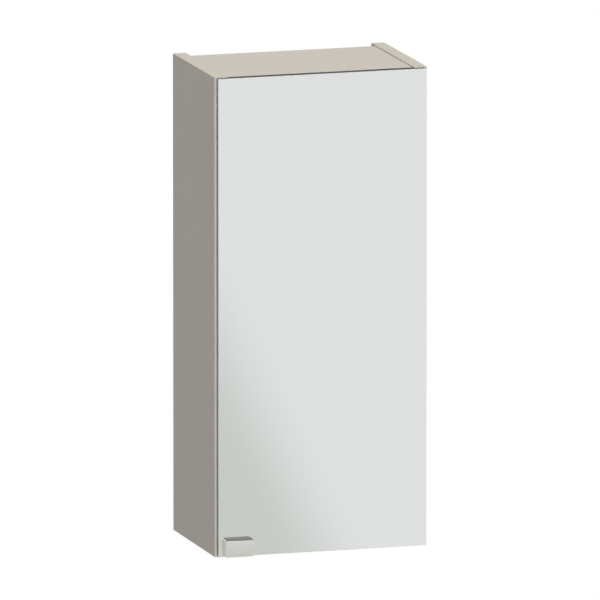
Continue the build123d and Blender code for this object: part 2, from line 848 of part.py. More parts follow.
save(group(cam_lock(*place) for place in all_cams), "cam_locks")
save(group(cam_bolt(*place) for place in all_cams), "cam_bolts")
save(group(dowel(*place) for place in all_dowels), "wood_dowels")
caps = [
    rod((side * (inner_x - cam_setback), row, under), (0, 0, 1), cap_radius, cap_thickness)
    for side, row, under in all_cams
]
save(group(caps), "cam_cover_caps")

for side, word in ((-1, "left"), (1, "right")):
    save(hanger_housing(side), word + "_hanger_housing")
    save(hanger_hook(side), word + "_hanger_hook")
    save(height_screw(side), word + "_height_screw")
    save(depth_screw(side), word + "_depth_screw")
    save(group(hanger_screw(side, z) for z in hanger_screw_zs), word + "_hanger_fixing_screws")

for word, centre in zip(("lower", "upper"), hinge_centres):
    save(cabinet_leaf(centre), word + "_hinge_cabinet_leaf")
    save(door_leaf(centre), word + "_hinge_door_leaf")
    save(hinge_pin(centre), word + "_hinge_pin")
    save(group(leaf_screw(z) for z in leaf_screw_heights(centre)), word + "_hinge_screws")

save(catch_housing(), "catch_housing")
save(magnet_block(), "catch_magnet")
save(group(catch_screw(z) for z in catch_screw_zs), "catch_screws")
save(strike_plate(), "catch_strike_plate")
bumper_heights = (bumper_end_distance, cabinet_height - bumper_end_distance)
save(group(bumper(z) for z in bumper_heights), "door_bumpers")

save(mirror_glass(), "mirror_glass")
save(mirror_backing(), "mirror_backing")
save(handle_body(), "handle_body")
save(handle_gasket(), "handle_gasket")
save(group(handle_screw(x) for x in handle_screw_xs), "handle_screws")
save(group(handle_washer(x) for x in handle_screw_xs), "handle_washers")
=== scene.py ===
import math

import bmesh
import bpy
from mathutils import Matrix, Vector


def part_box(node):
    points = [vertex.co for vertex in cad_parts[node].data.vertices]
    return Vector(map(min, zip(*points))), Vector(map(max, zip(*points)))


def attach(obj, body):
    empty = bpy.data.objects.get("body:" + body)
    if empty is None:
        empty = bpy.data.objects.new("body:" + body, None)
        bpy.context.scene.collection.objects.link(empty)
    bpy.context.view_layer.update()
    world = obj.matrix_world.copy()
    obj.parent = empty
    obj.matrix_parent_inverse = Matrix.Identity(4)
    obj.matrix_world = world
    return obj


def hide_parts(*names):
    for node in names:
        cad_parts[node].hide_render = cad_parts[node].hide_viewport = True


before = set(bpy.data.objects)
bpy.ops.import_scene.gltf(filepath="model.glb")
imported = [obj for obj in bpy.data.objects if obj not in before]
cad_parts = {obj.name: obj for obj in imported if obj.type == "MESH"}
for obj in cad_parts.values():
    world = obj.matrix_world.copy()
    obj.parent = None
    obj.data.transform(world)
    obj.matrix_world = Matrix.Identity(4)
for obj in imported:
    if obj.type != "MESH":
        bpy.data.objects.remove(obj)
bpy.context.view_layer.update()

# Camera: far off with a long lens, because the photograph shows almost no perspective. It stands
# to the left of the cabinet and a little above. The aim point lies in the middle of the front
# edge's plane, and its place in the photograph sets how far the camera is moved sideways.
yaw, pitch = math.radians(16.791), math.radians(10.665)
focal_pixels, picture_pixels, sensor_mm = 20445.0, 600, 36.0
pixels_per_metre = 738.29
aim_column, aim_row = 320.74, 311.99
camera_reach = 200.0
front_edge_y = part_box("left_edge_band")[0].y
side_panel_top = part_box("left_side_panel")[1].z
aim = Vector((0.0, front_edge_y, side_panel_top / 2))
ahead = Vector((math.sin(yaw) * math.cos(pitch), math.cos(yaw) * math.cos(pitch), -math.sin(pitch)))
rightward = Vector((math.cos(yaw), -math.sin(yaw), 0.0))
upward = rightward.cross(ahead)
distance = focal_pixels / pixels_per_metre
shift_right = (aim_column - picture_pixels / 2) / pixels_per_metre
shift_down = (aim_row - picture_pixels / 2) / pixels_per_metre
camera = bpy.data.objects.new("camera", bpy.data.cameras.new("camera"))
camera.data.lens = focal_pixels / picture_pixels * sensor_mm
camera.data.sensor_width = sensor_mm
camera.data.clip_end = camera_reach
camera.location = aim - ahead * distance - rightward * shift_right + upward * shift_down
camera.rotation_mode = "QUATERNION"
camera.rotation_quaternion = ahead.to_track_quat("-Z", "Y")
bpy.context.scene.collection.objects.link(camera)
bpy.context.scene.camera = camera
bpy.context.scene.view_settings.view_transform = "Standard"


# Sky: an even, soft light from all round. What the camera, the mirror and clear parts see of it
# is plain white, as in the photograph.
def fill_input(tree, socket, value):
    """Links another node's output to an input, or writes a plain value there."""
    if hasattr(value, "is_output"):
        tree.links.new(value, socket)
    else:
        socket.default_value = value


def sums(tree, operation, *terms):
    """A Math node's output."""
    node = tree.nodes.new("ShaderNodeMath")
    node.operation = operation
    for socket, term in zip(node.inputs, terms):
        fill_input(tree, socket, term)
    return node.outputs[0]


def mixed(tree, factor, first, second):
    """One surface where factor is 0 and another where it is 1."""
    mix = tree.nodes.new("ShaderNodeMixShader")
    fill_input(tree, mix.inputs["Fac"], factor)
    tree.links.new(first.outputs[0], mix.inputs[1])
    tree.links.new(second.outputs[0], mix.inputs[2])
    return mix


def any_ray(tree, *kinds):
    """1 for light rays of these kinds, else 0."""
    path = tree.nodes.new("ShaderNodeLightPath")
    found = path.outputs["Is " + kinds[0] + " Ray"]
    for kind in kinds[1:]:
        found = sums(tree, "MAXIMUM", found, path.outputs["Is " + kind + " Ray"])
    return found


sky_strength, sky_colour = 0.158, (0.96, 0.965, 1.0)
white = (1.0, 1.0, 1.0)
world = bpy.data.worlds.new("studio_sky")
bpy.context.scene.world = world
world.use_nodes = True
sky_tree = world.node_tree
sky_tree.nodes.clear()
sky_light = sky_tree.nodes.new("ShaderNodeBackground")
sky_light.inputs["Color"].default_value = (*sky_colour, 1.0)
sky_light.inputs["Strength"].default_value = sky_strength
sky_white = sky_tree.nodes.new("ShaderNodeBackground")
sky_white.inputs["Color"].default_value = (*white, 1.0)
sky_output = sky_tree.nodes.new("ShaderNodeOutputWorld")
sky = mixed(sky_tree, any_ray(sky_tree, "Camera", "Glossy", "Transmission"), sky_light, sky_white)
sky_tree.links.new(sky.outputs[0], sky_output.inputs["Surface"])


# Lamps: a large soft one overhead for the top, and a level one from the front for the front edges.
# Neither reaches the left side, which stays in half shade.
def soft_lamp(name, towards, energy, colour, spread):
    """A far lamp that shines from a direction; its spread in degrees softens the shadows."""
    lamp = bpy.data.objects.new(name, bpy.data.lights.new(name, "SUN"))
    lamp.data.energy = energy
    lamp.data.color = colour
    lamp.data.angle = math.radians(spread)
    lamp.rotation_mode = "QUATERNION"
    lamp.rotation_quaternion = (-Vector(towards)).to_track_quat("-Z", "Y")
    bpy.context.scene.collection.objects.link(lamp)


soft_lamp("top_lamp", towards=(-0.04, 0.26, 1.0), energy=2.36, colour=(1.0, 0.970, 0.912), spread=24)
soft_lamp("front_lamp", towards=(-0.07, -1.0, 0.02), energy=2.48, colour=(1.0, 0.99, 0.98), spread=12)


# Studio floor: a plain matt white sheet, well below the cabinet because this one hangs on a wall.
# The camera sees it as pure white, and it isn't there for a camera under it. The mirror looks down
# at it and sees a white glow, except for a soft grey zone of painted shade in front of the cabinet;
# that painted shade, seen in the mirror, is what darkens the mirror's lower left.
def new_material(name):
    """A node material that holds only its output, and its node tree."""
    material = bpy.data.materials.new(name)
    material.use_nodes = True
    material.node_tree.nodes.clear()
    tree = material.node_tree
    return material, tree, tree.nodes.new("ShaderNodeOutputMaterial")


def object_axes(tree):
    """The object's own X, Y and Z at each point of its surface, in metres."""
    place = tree.nodes.new("ShaderNodeTexCoord")
    axes = tree.nodes.new("ShaderNodeSeparateXYZ")
    tree.links.new(place.outputs["Object"], axes.inputs[0])
    return axes.outputs


def blend_colours(tree, factor, first, second):
    """A colour between two others."""
    mix = tree.nodes.new("ShaderNodeMix")
    mix.data_type = "RGBA"
    sockets = {socket.identifier: socket for socket in mix.inputs}
    fill_input(tree, sockets["Factor_Float"], factor)
    for key, value in (("A_Color", first), ("B_Color", second)):
        fill_input(tree, sockets[key], (*value, 1.0) if isinstance(value, tuple) else value)
    return [socket for socket in mix.outputs if socket.identifier == "Result_Color"][0]


floor_half, floor_drop = 60.0, 0.30
floor_signs = ((-1, -1), (1, -1), (1, 1), (-1, 1))
floor_corners = [(x * floor_half, y * floor_half, -floor_drop) for x, y in floor_signs]
floor_mesh = bpy.data.meshes.new("floor")
floor_mesh.from_pydata(floor_corners, [], [(0, 1, 2, 3)])
floor = bpy.data.objects.new("floor", floor_mesh)
bpy.context.scene.collection.objects.link(floor)

mirror_low, mirror_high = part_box("mirror_glass")
# Size, fall-off and colour of the grey zone, which is painted shade in the floor's glow; only the mirror
# sees it.
zone_width, zone_height = 0.152, 0.300
zone_start, zone_end, painted_shade_colour = 0.40, 1.43, (0.775, 0.790, 0.745)
matt_colour = (0.635, 0.625, 0.665)
run_per_height = math.cos(pitch) / math.sin(pitch)
floor_paint, tree, output = new_material("studio_floor")
floor_axes = object_axes(tree)
forward = sums(tree, "SUBTRACT", mirror_low.y, floor_axes["Y"])
fall = sums(tree, "DIVIDE", forward, run_per_height * math.cos(yaw))
drift = sums(tree, "MULTIPLY", fall, run_per_height * math.sin(yaw))
height = sums(tree, "SUBTRACT", fall, floor_drop)
across = sums(tree, "SUBTRACT", sums(tree, "SUBTRACT", floor_axes["X"], drift), mirror_low.x)
widths, heights = sums(tree, "DIVIDE", across, zone_width), sums(tree, "DIVIDE", height, zone_height)
zone = tree.nodes.new("ShaderNodeMapRange")
zone.interpolation_type = "SMOOTHSTEP"
zone.inputs["From Min"].default_value = zone_start
zone.inputs["From Max"].default_value = zone_end
tree.links.new(sums(tree, "ADD", widths, heights), zone.inputs["Value"])
floor_matt = tree.nodes.new("ShaderNodeBsdfDiffuse")
floor_matt.inputs["Color"].default_value = (*matt_colour, 1.0)
# What the mirror sees of the floor: a white glow, blended to the painted shade colour inside the zone.
floor_mirrored = tree.nodes.new("ShaderNodeEmission")
tree.links.new(blend_colours(tree, zone.outputs[0], painted_shade_colour, white), floor_mirrored.inputs["Color"])
floor_white = tree.nodes.new("ShaderNodeEmission")
floor_open = tree.nodes.new("ShaderNodeBsdfTransparent")
floor_side = tree.nodes.new("ShaderNodeNewGeometry")
floor_surface = mixed(tree, any_ray(tree, "Glossy"), floor_matt, floor_mirrored)
floor_surface = mixed(tree, any_ray(tree, "Camera", "Transmission"), floor_surface, floor_white)
floor_surface = mixed(tree, floor_side.outputs["Backfacing"], floor_surface, floor_open)
tree.links.new(floor_surface.outputs[0], output.inputs["Surface"])
floor_mesh.materials.append(floor_paint)


# Side panels: 18 mm chipboard faced on both sides with grey-beige melamine paper. The boards are
# sawn, grooved and bored, so bare chipboard shows in every hole, in the groove and on the rear edge.
def object_noise(tree, scale, detail, stretch=(1.0, 1.0, 1.0)):
    """A noise pattern fixed to the object, in metres."""
    place = tree.nodes.new("ShaderNodeTexCoord")
    mapping = tree.nodes.new("ShaderNodeMapping")
    mapping.inputs["Scale"].default_value = stretch
    noise = tree.nodes.new("ShaderNodeTexNoise")
    noise.inputs["Scale"].default_value = scale
    noise.inputs["Detail"].default_value = detail
    tree.links.new(place.outputs["Object"], mapping.inputs["Vector"])
    tree.links.new(mapping.outputs[0], noise.inputs["Vector"])
    return noise.outputs["Fac"]


def bumped(tree, height, depth):
    """A bump normal from a pattern, with its depth in metres."""
    bump = tree.nodes.new("ShaderNodeBump")
    bump.inputs["Distance"].default_value = depth
    tree.links.new(height, bump.inputs["Height"])
    return bump.outputs["Normal"]


def principled(tree, colour, roughness, metallic=0.0, normal=None):
    """A Principled surface."""
    shader = tree.nodes.new("ShaderNodeBsdfPrincipled")
    tree.links.new(colour, shader.inputs["Base Color"])
    fill_input(tree, shader.inputs["Roughness"], roughness)
    shader.inputs["Metallic"].default_value = metallic
    if normal is not None:
        tree.links.new(normal, shader.inputs["Normal"])
    return shader


def tints(colour, spread):
    """A slightly darker and a slightly lighter version of a colour."""
    darker = tuple(part * (1 - spread) for part in colour)
    lighter = tuple(part * (1 + spread) for part in colour)
    return darker, lighter


def wandering(tree, pattern, middle, spread):
    """A value that wanders by spread about its middle."""
    return sums(tree, "MULTIPLY_ADD", pattern, spread, middle - spread / 2)


def inside_box(tree, low, high):
    """1 where a point of the object lies inside a box, else 0."""
    place = tree.nodes.new("ShaderNodeTexCoord")
    depths = []
    for first, second in ((place.outputs["Object"], tuple(low)), (tuple(high), place.outputs["Object"])):
        gap = tree.nodes.new("ShaderNodeVectorMath")
        gap.operation = "SUBTRACT"
        fill_input(tree, gap.inputs[0], first)
        fill_input(tree, gap.inputs[1], second)
        parts = tree.nodes.new("ShaderNodeSeparateXYZ")
        tree.links.new(gap.outputs[0], parts.inputs[0])
        depths += list(parts.outputs)
    least = depths[0]
    for depth in depths[1:]:
        least = sums(tree, "MINIMUM", least, depth)
    return sums(tree, "GREATER_THAN", least, 0.0)


skin = 0.0004
paper_colour, paper_roughness, paper_gloss = (0.560, 0.527, 0.470), 0.50, 0.25
chip_light, chip_dark, chip_roughness = (0.52, 0.39, 0.25), (0.27, 0.18, 0.10), 0.9
rear_edge = ((1, 1),)


def faced_board(node, bare):
    """Melamine paper over chipboard; bare gives axis and end of the sawn sides without paper."""
    material, tree, output = new_material(node + "_board")
    patches = object_noise(tree, scale=9.0, detail=3.0)
    tone = blend_colours(tree, patches, *tints(paper_colour, spread=0.012))
    sheen = wandering(tree, object_noise(tree, scale=40.0, detail=4.0), paper_roughness, spread=0.08)
    pores = bumped(tree, object_noise(tree, scale=1500.0, detail=2.0), depth=0.00006)
    paper = principled(tree, tone, sheen, normal=pores)
    paper.inputs["Specular IOR Level"].default_value = paper_gloss
    flakes = object_noise(tree, scale=420.0, detail=5.0, stretch=(1.0, 1.0, 2.4))
    chip_tone = blend_colours(tree, flakes, chip_dark, chip_light)
    chips = principled(tree, chip_tone, chip_roughness, normal=bumped(tree, flakes, depth=0.0008))
    low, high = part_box(node)
    inset = Vector((skin, skin, skin))
    core_low, core_high = low + inset, high - inset
    for axis, end in bare:
        if end > 0:
            core_high[axis] = high[axis] + skin
        else:
            core_low[axis] = low[axis] - skin
    board = mixed(tree, inside_box(tree, core_low, core_high), paper, chips)
    tree.links.new(board.outputs[0], output.inputs["Surface"])
    return material


def dress(material, *nodes):
    """Gives the material to carried-over nodes."""
    for node in nodes:
        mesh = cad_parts[node].data
        mesh.materials.clear()
        mesh.materials.append(material)


for node in ("left_side_panel", "right_side_panel"):
    dress(faced_board(node, rear_edge), node)


# Edging: 1 mm plastic strips in the board's colour, rolled onto the front edges of the side panels
# and of the top and bottom panels with hot glue. They are a touch smoother than the paper.
def plain_finish(name, tones, patches, roughness, relief, relief_depth, more=()):
    """A material whose colour wanders between two tones, with a fine relief and more inputs set."""
    material, tree, output = new_material(name)
    tone = blend_colours(tree, object_noise(tree, **patches), *tones)
    normal = bumped(tree, object_noise(tree, **relief), relief_depth)
    surface = principled(tree, tone, roughness, normal=normal)
    for label, value in more:
        surface.inputs[label].default_value = value
    tree.links.new(surface.outputs[0], output.inputs["Surface"])
    return material


edging = plain_finish(
    "edging",
    tones=tints((0.580, 0.568, 0.540), spread=0.015),
    patches={"scale": 30.0, "detail": 2.0},
    roughness=0.42,
    relief={"scale": 900.0, "detail": 2.0, "stretch": (1.0, 1.0, 0.05)},
    relief_depth=0.00003,
)
dress(edging, "left_edge_band", "right_edge_band", "top_edge_band", "bottom_edge_band")

# Top and bottom panels: the same board, cut to fit between the side panels and set back from their
# front. Their ends and rear edges are bare, and each is bored for four cams and four dowels.
ends_and_rear = ((0, 1), (0, -1), (1, 1))
for node in ("top_panel", "bottom_panel"):
    dress(faced_board(node, ends_and_rear), node)

# Dowels: turned beech sticks with pressed flutes, glued into the ends of the top and bottom
# panels and pushed dry into the side panels.
beech_grain = {"scale": 600.0, "detail": 4.0, "stretch": (0.06, 1.0, 1.0)}
beech = plain_finish(
    "beech",
    tones=((0.46, 0.29, 0.15), (0.62, 0.43, 0.25)),
    patches=beech_grain,
    roughness=0.65,
    relief=beech_grain,
    relief_depth=0.0001,
)
dress(beech, "wood_dowels")


# Cam locks and cam bolts: die-cast zinc drums turned over the heads of zinc-plated steel bolts,
# which draws each joint tight.
def plated_metal(name, colour, roughness, pitting=0.00003):
    """Plated metal with faint blotches in its sheen and fine pitting."""
    material, tree, output = new_material(name)
    blotches = object_noise(tree, scale=160.0, detail=4.0)
    tone = blend_colours(tree, blotches, *tints(colour, spread=0.06))
    sheen = wandering(tree, blotches, roughness, spread=0.16)
    pits = bumped(tree, object_noise(tree, scale=1800.0, detail=2.0), pitting)
    surface = principled(tree, tone, sheen, metallic=1.0, normal=pits)
    tree.links.new(surface.outputs[0], output.inputs["Surface"])
    return material


die_cast_zinc = plated_metal("die_cast_zinc", (0.50, 0.50, 0.51), roughness=0.42, pitting=0.00008)
bright_zinc = plated_metal("bright_zinc", (0.66, 0.67, 0.69), roughness=0.28)
dress(die_cast_zinc, "cam_locks")
dress(bright_zinc, "cam_bolts")


# Cam cover caps: small moulded discs in the board's colour, pressed in flush over the cams in the
# undersides of the top and bottom panels.
def moulded_plastic(name, colour, roughness):
    """Moulded plastic with a fine spark-eroded grain."""
    return plain_finish(
        name,
        tones=tints(colour, spread=0.02),
        patches={"scale": 25.0, "detail": 2.0},
        roughness=roughness,
        relief={"scale": 1300.0, "detail": 3.0},
        relief_depth=0.00005,
    )


dress(moulded_plastic("cap_plastic", (0.555, 0.53, 0.48), roughness=0.45), "cam_cover_caps")

# Back panel: 3 mm hardboard, painted pale grey on the face that shows inside the cabinet and left
# brown and sanded on the face to the wall. It is pushed into the grooves before the last panel.
back_low, back_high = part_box("back_panel")
back_paint, paint_roughness = (0.60, 0.585, 0.55), 0.55
hardboard_colour, hardboard_roughness = (0.30, 0.19, 0.11), 0.85
back_board, tree, output = new_material("back_board")
paint_patches = object_noise(tree, scale=12.0, detail=3.0)
paint_tone = blend_colours(tree, paint_patches, *tints(back_paint, spread=0.012))
paint_relief = bumped(tree, object_noise(tree, scale=1100.0, detail=2.0), depth=0.00004)
painted_face = principled(tree, paint_tone, paint_roughness, normal=paint_relief)
fibres = object_noise(tree, scale=700.0, detail=6.0)
fibre_tone = blend_colours(tree, fibres, *tints(hardboard_colour, spread=0.22))
fibre_relief = bumped(tree, fibres, depth=0.0002)
fibre_face = principled(tree, fibre_tone, hardboard_roughness, normal=fibre_relief)
fibre_low = back_low + Vector((-skin, skin, -skin))
fibre_high = back_high + Vector((skin, skin, skin))
back_faces = mixed(tree, inside_box(tree, fibre_low, fibre_high), painted_face, fibre_face)
tree.links.new(back_faces.outputs[0], output.inputs["Surface"])
dress(back_board, "back_panel")

# Wall hangers, housings: moulded boxes in the upper rear corners, each screwed to its side panel.
# They are pale grey, like the fittings of most cabinets of this kind.
fitting_plastic = moulded_plastic("fitting_plastic", (0.58, 0.58, 0.56), roughness=0.42)
dress(fitting_plastic, "left_hanger_housing", "right_hanger_housing")

# Wall hangers, hooks: pressed from zinc-plated steel strip and bent over into a lip that drops
# behind the rail on the wall. The height screw's drum lifts and lowers the hook.
pressed_steel = plated_metal("pressed_steel", (0.60, 0.60, 0.60), roughness=0.34)
dress(pressed_steel, "left_hanger_hook", "right_hanger_hook")
dress(bright_zinc, "left_height_screw", "right_height_screw", "left_depth_screw", "right_depth_screw")


# Screws with a cross recess: cold-headed steel, bright zinc plated. Each row is one screw modelled
# once and set out along its row. Each hanger has a row of two, each hinge three, the catch two.
def turned_shape(name, foot, rings, crown, segments):
    """A closed shape turned about Z, from its foot through rings of radius and height to its crown.
    A height may also be a function of x and y."""
    points, faces = [(0.0, 0.0, foot)], []
    for radius, height in rings:
        for segment in range(segments):
            angle = 2 * math.pi * segment / segments
            x, y = radius * math.cos(angle), radius * math.sin(angle)
            points.append((x, y, height(x, y) if callable(height) else height))
    points.append((0.0, 0.0, crown))
    starts = [1 + number * segments for number in range(len(rings))]
    for segment in range(segments):
        after = (segment + 1) % segments
        faces.append((0, starts[0] + after, starts[0] + segment))
        for low, high in zip(starts, starts[1:]):
            faces.append((low + segment, low + after, high + after, high + segment))
        faces.append((starts[-1] + segment, starts[-1] + after, len(points) - 1))
    mesh = bpy.data.meshes.new(name)
    mesh.from_pydata(points, [], faces)
    return bpy.data.objects.new(name, mesh)


def screw(name, seat_radius, head_height, dome, shank_radius, length):
    """One screw along +Z: its seat is at zero, its head above and its shank below."""
    arm_half, arm_reach = seat_radius * 0.17, seat_radius * 0.62
    recess_depth, recess_slope = head_height * 0.7, seat_radius * 0.07
    tip_radius, taper_start = shank_radius * 0.5, length * 0.88
    segments, top_rings = 96, 12

    def top_level(x, y):
        """Height of the domed top, lower inside the cross recess."""
        inside_arm = (arm_half - min(abs(x), abs(y))) / recess_slope
        inside_end = (arm_reach - max(abs(x), abs(y))) / recess_slope
        sunk = max(0.0, min(1.0, inside_arm)) * max(0.0, min(1.0, inside_end))
        return head_height - dome * (x * x + y * y) / seat_radius ** 2 - recess_depth * sunk

    rings = [(tip_radius, -length), (shank_radius, -taper_start), (shank_radius, 0.0), (seat_radius, 0.0)]
    rings += [(seat_radius * (top_rings - step) / top_rings, top_level) for step in range(top_rings)]
    return turned_shape(name, -length, rings, head_height - recess_depth, segments)


def row_tree(name):
    """A geometry tree that sets one object out along an upright row and turns each copy."""
    tree = bpy.data.node_groups.new(name, "GeometryNodeTree")
    tree.interface.new_socket("Geometry", in_out="INPUT", socket_type="NodeSocketGeometry")
    for label, kind in (
        ("Fitting", "Object"),
        ("Count", "Int"),
        ("Pitch", "Float"),
        ("Start", "Vector"),
        ("Turn", "Vector"),
        ("Finish", "Material"),
    ):
        tree.interface.new_socket(label, in_out="INPUT", socket_type="NodeSocket" + kind)
    tree.interface.new_socket("Geometry", in_out="OUTPUT", socket_type="NodeSocketGeometry")
    given = tree.nodes.new("NodeGroupInput")
    result = tree.nodes.new("NodeGroupOutput")
    step = tree.nodes.new("ShaderNodeCombineXYZ")
    line = tree.nodes.new("GeometryNodeMeshLine")
    fitting = tree.nodes.new("GeometryNodeObjectInfo")
    copies = tree.nodes.new("GeometryNodeInstanceOnPoints")
    solid = tree.nodes.new("GeometryNodeRealizeInstances")
    coat = tree.nodes.new("GeometryNodeSetMaterial")
    for source, target in (
        (given.outputs["Pitch"], step.inputs["Z"]),
        (given.outputs["Count"], line.inputs["Count"]),
        (given.outputs["Start"], line.inputs["Start Location"]),
        (step.outputs[0], line.inputs["Offset"]),
        (given.outputs["Fitting"], fitting.inputs["Object"]),
        (line.outputs[0], copies.inputs["Points"]),
        (fitting.outputs["Geometry"], copies.inputs["Instance"]),
        (given.outputs["Turn"], copies.inputs["Rotation"]),
        (copies.outputs[0], solid.inputs["Geometry"]),
        (solid.outputs[0], coat.inputs["Geometry"]),
        (given.outputs["Finish"], coat.inputs["Material"]),
        (coat.outputs[0], result.inputs[0]),
    ):
        tree.links.new(source, target)
    return tree


fitting_row = row_tree("fitting_row")
sharp_from = math.radians(40)


def row_piece(name, **values):
    """A plain mesh object of a row of like fittings; the values go to the row tree's inputs."""
    fitting = values["Fitting"]
    bpy.context.scene.collection.objects.link(fitting)
    holder = bpy.data.objects.new(name + "_row", bpy.data.meshes.new(name + "_row"))
    bpy.context.scene.collection.objects.link(holder)
    modifier = holder.modifiers.new("row", "NODES")
    modifier.node_group = fitting_row
    for item in fitting_row.interface.items_tree:
        if item.in_out == "INPUT" and item.name in values:
            modifier[item.identifier] = values[item.name]
    bpy.context.view_layer.update()
    evaluated = holder.evaluated_get(bpy.context.evaluated_depsgraph_get())
    mesh = bpy.data.meshes.new_from_object(evaluated)
    bpy.data.objects.remove(holder)
    bpy.data.objects.remove(fitting)
    mesh.shade_smooth()
    mesh.set_sharp_from_angle(angle=sharp_from)
    piece = bpy.data.objects.new(name, mesh)
    bpy.context.scene.collection.objects.link(piece)
    return piece


def screw_row(node, count, head_height, dome, shank_radius, side):
    """Replaces a node of screws in an upright row, driven to the left (-1) or to the right (1)."""
    low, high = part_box(node)
    seat_radius = (high.y - low.y) / 2
    length = high.x - low.x - head_height
    seat_x = low.x + head_height if side > 0 else high.x - head_height
    piece = row_piece(
        node + "_cross_recess",
        Fitting=screw(node + "_head", seat_radius, head_height, dome, shank_radius, length),
        Count=count,
        Pitch=(high.z - low.z - 2 * seat_radius) / (count - 1),
        Start=(seat_x, (low.y + high.y) / 2, low.z + seat_radius),
        Turn=(0.0, -side * math.pi / 2, 0.0),
        Finish=bright_zinc,
    )
    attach(piece, "cabinet")
    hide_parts(node)


hanger_screw = {"head_height": 0.0014, "dome": 0.0005, "shank_radius": 0.0020}
screw_row("left_hanger_fixing_screws", count=2, side=-1, **hanger_screw)
screw_row("right_hanger_fixing_screws", count=2, side=1, **hanger_screw)

# Shelves: two loose boards like the carcass, with a paper-faced front edge and a bare rear edge,
# lying on four supports each.
for node in ("lower_shelf", "upper_shelf"):
    dress(faced_board(node, ends_and_rear), node)

# Shelf supports: nickel-plated pins with a round plate and a flat ledge, pushed into the bored
# holes by hand.
nickel = plated_metal("nickel", (0.60, 0.585, 0.56), roughness=0.26)
dress(nickel, "lower_shelf_supports", "upper_shelf_supports")

# Hinges: two pairs of slim pressed steel leaves with rolled eyes on a riveted pin. One leaf is
# bent round the side panel's front edge and screwed on, the other is glued to the glass.
satin_nickel = plated_metal("satin_nickel", (0.46, 0.45, 0.43), roughness=0.33)
leaf_screw = {"head_height": 0.0017, "dome": 0.0009, "shank_radius": 0.00175}
for hinge in ("lower_hinge", "upper_hinge"):
    dress(satin_nickel, hinge + "_cabinet_leaf", hinge + "_door_leaf", hinge + "_pin")
    screw_row(hinge + "_screws", count=3, side=1, **leaf_screw)

# Magnetic catch: a moulded housing on the left side panel with a black ferrite magnet that shows
# at its front. A thin steel plate glued to the back of the glass meets it.
dress(fitting_plastic, "catch_housing")
ferrite_grain = {"scale": 1600.0, "detail": 4.0}
ferrite = plain_finish(
    "ferrite",
    tones=((0.022, 0.022, 0.024), (0.050, 0.050, 0.052)),
    patches=ferrite_grain,
    roughness=0.55,
    relief=ferrite_grain,
    relief_depth=0.0001,
)
dress(ferrite, "catch_magnet")
screw_row("catch_screws", count=2, side=-1, head_height=0.0014, dome=0.0005, shank_radius=0.0015)
dress(pressed_steel, "catch_strike_plate")

# Bumpers: two clear, soft plastic domes stuck to the left side panel's front edge, which keep the
# glass from knocking on the board.
dome_segments, dome_rings, dome_flat = 64, 12, 0.35
bumper_low, bumper_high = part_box("door_bumpers")
bumper_x = (bumper_low.x + bumper_high.x) / 2
bumper_radius = (bumper_high.x - bumper_low.x) / 2
bumper_height = bumper_high.y - bumper_low.y
dome_profile = []
for ring in range(dome_rings + 1):
    lift = math.pi / 2 * ring / dome_rings
    ring_radius = bumper_radius * (dome_flat + (1 - dome_flat) * math.cos(lift))
    dome_profile.append((ring_radius, bumper_height * math.sin(lift)))
clear_soft_plastic = plain_finish(
    "clear_soft_plastic",
    tones=((0.82, 0.82, 0.80), (0.90, 0.90, 0.88)),
    patches={"scale": 300.0, "detail": 2.0},
    roughness=0.22,
    relief={"scale": 500.0, "detail": 2.0},
    relief_depth=0.00003,
    more=(("Transmission Weight", 0.3), ("IOR", 1.45)),
)
bumpers = row_piece(
    "clear_bumpers",
    Fitting=turned_shape("bumper_dome", 0.0, dome_profile, bumper_height, dome_segments),
    Count=2,
    Pitch=bumper_high.z - bumper_low.z - 2 * bumper_radius,
    Start=(bumper_x, bumper_high.y, bumper_low.z + bumper_radius),
    Turn=(math.pi / 2, 0.0, 0.0),
    Finish=clear_soft_plastic,
)
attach(bumpers, "cabinet")
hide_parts("door_bumpers")

# Mirror: 5 mm float glass, silvered on its back, with ground edges and a narrow polished bevel
# round the front. The edge shows the dark grey-green of the glass in its depth. Its top edge is
# painted near black: painted shade for the dark slot above the door, where little light comes back.
silver_colour = (0.733, 0.748, 0.746)
bevel_tones, bevel_roughness, bevel_metallic = ((0.70, 0.72, 0.70), (0.76, 0.78, 0.76)), 0.25, 0.6
edge_tones, edge_roughness = ((0.205, 0.212, 0.200), (0.275, 0.283, 0.269)), 0.3
# Painted shade: near-black tones for the top edge, standing in for the dark slot above the door.
top_edge_painted_shade_tones = ((0.030, 0.032, 0.030), (0.050, 0.053, 0.050))
bevel_width, beyond, front_skin, top_skin = 0.0007, 0.01, 0.0001, 0.0002
mirror_glass, tree, output = new_material("mirror_glass")
silver_patches = object_noise(tree, scale=3.0, detail=1.0)
silver_tone = blend_colours(tree, silver_patches, *tints(silver_colour, spread=0.002))
silver = principled(tree, silver_tone, 0.0, metallic=1.0)
bevel_tone = blend_colours(tree, object_noise(tree, scale=800.0, detail=2.0), *bevel_tones)
bevel = principled(tree, bevel_tone, bevel_roughness, metallic=bevel_metallic)
edge_marks = object_noise(tree, scale=900.0, detail=3.0, stretch=(1.0, 8.0, 1.0))
top_edge_low = Vector((mirror_low.x - beyond, mirror_low.y - beyond, mirror_high.z - top_skin))
outer_high = mirror_high + Vector((beyond, beyond, beyond))
